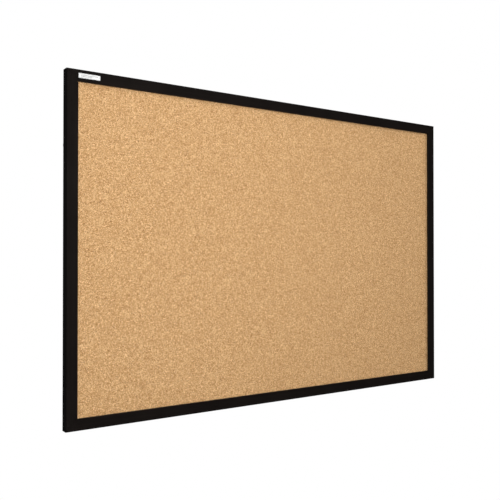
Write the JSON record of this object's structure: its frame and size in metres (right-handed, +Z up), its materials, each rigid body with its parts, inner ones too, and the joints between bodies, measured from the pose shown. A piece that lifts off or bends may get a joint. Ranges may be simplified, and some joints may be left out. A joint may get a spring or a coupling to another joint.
{
  "type": "cork bulletin board",
  "caption": "Wall-hung cork notice board with a mitred black moulding, layered pin-up panel, strap hangers with D-rings and rubber wall pads.",
  "frame": {"origin": "centre of the whole board's box, label and wall pads included", "axes": "+X to the right as the front is seen, +Z up with the board hung wide, cork facing -Y, wall on the +Y side"},
  "size_m": [0.9, 0.0218, 0.6],
  "materials": {
    "frame_black": "satin black lacquer on fibreboard moulding",
    "cork": "matt pressed cork granules",
    "softboard": "matt insulation board",
    "hardboard": "hardboard, screen pattern side out",
    "nail_steel": "dull blued strip steel",
    "hanger_steel": "bright zinc-plated steel",
    "ring_steel": "bright zinc-plated wire",
    "screw_steel": "zinc-plated steel",
    "bumper_rubber": "matt black rubber",
    "label_paper": "white satin label stock"
  },
  "bodies": {
    "board": {"frame_top_rail": "frame_black", "frame_bottom_rail": "frame_black", "frame_left_stile": "frame_black", "frame_right_stile": "frame_black", "cork_sheet": "cork", "softboard_core": "softboard", "hardboard_back": "hardboard", "front_label": "label_paper", "corner_nails_top_left": "nail_steel", "wall_bumper_top_left": "bumper_rubber", "corner_nails_top_right": "nail_steel", "wall_bumper_top_right": "bumper_rubber", "corner_nails_bottom_left": "nail_steel", "wall_bumper_bottom_left": "bumper_rubber", "corner_nails_bottom_right": "nail_steel", "wall_bumper_bottom_right": "bumper_rubber", "framing_points_left": "nail_steel", "hanger_strap_left": "hanger_steel", "hanger_screws_left": "screw_steel", "framing_points_right": "nail_steel", "hanger_strap_right": "hanger_steel", "hanger_screws_right": "screw_steel", "framing_points_top": "nail_steel", "hanger_strap_top": "hanger_steel", "hanger_screws_top": "screw_steel", "framing_points_bottom": "nail_steel", "hanger_strap_bottom": "hanger_steel", "hanger_screws_bottom": "screw_steel"},
    "ring_left": {"hanger_ring_left": "ring_steel"},
    "ring_right": {"hanger_ring_right": "ring_steel"},
    "ring_top": {"hanger_ring_top": "ring_steel"},
    "ring_bottom": {"hanger_ring_bottom": "ring_steel"}
  },
  "joints": [
    {"name": "ring_left_swing", "type": "hinge", "parent": "board", "child": "ring_left", "pos_m": [-0.44215, 0.00826, 0.17125], "axis": [-1, 0, 0], "range_deg": [0, 170]},
    {"name": "ring_right_swing", "type": "hinge", "parent": "board", "child": "ring_right", "pos_m": [0.44215, 0.00826, 0.17125], "axis": [-1, 0, 0], "range_deg": [0, 170]},
    {"name": "ring_top_swing", "type": "hinge", "parent": "board", "child": "ring_top", "pos_m": [-0.32125, 0.00826, 0.29215], "axis": [0, 0, -1], "range_deg": [0, 170]},
    {"name": "ring_bottom_swing", "type": "hinge", "parent": "board", "child": "ring_bottom", "pos_m": [-0.32125, 0.00826, -0.29215], "axis": [0, 0, -1], "range_deg": [0, 170]}
  ]
}
